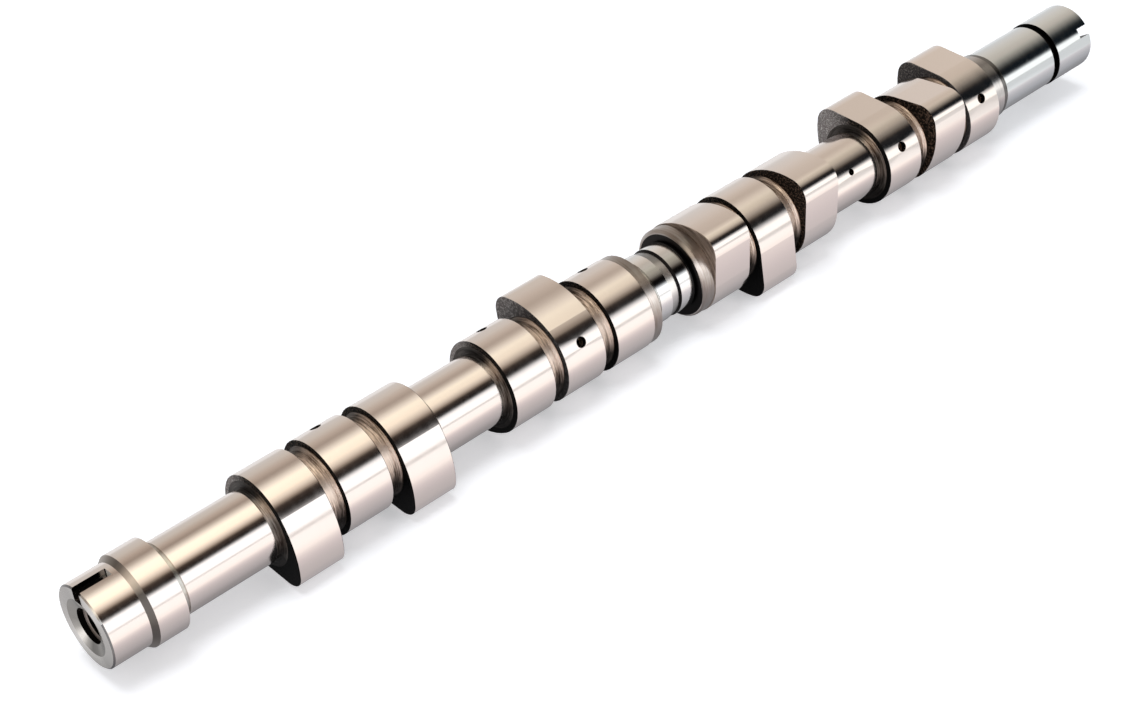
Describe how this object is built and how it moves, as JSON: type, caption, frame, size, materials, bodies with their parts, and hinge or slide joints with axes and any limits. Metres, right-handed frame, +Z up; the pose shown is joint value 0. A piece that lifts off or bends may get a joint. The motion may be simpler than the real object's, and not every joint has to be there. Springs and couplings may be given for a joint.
{
  "type": "camshaft",
  "caption": "Overhead camshaft, one ground iron casting: cams, bearing journals with oil holes, a keyed and threaded nose and a slotted drive end.",
  "frame": {"origin": "centre of the nose end face, on the shaft axis", "axes": "+X along the shaft axis from the nose to the slotted drive end, +Z up, +Y to the left seen from the drive end looking back at the nose; the shaft lies as it rests on a flat surface"},
  "size_m": [0.454, 0.0374, 0.0374],
  "materials": {
    "camshaft": "ground journals and cams, as-cast between"
  },
  "bodies": {
    "root": {"camshaft": "camshaft"}
  },
  "joints": []
}
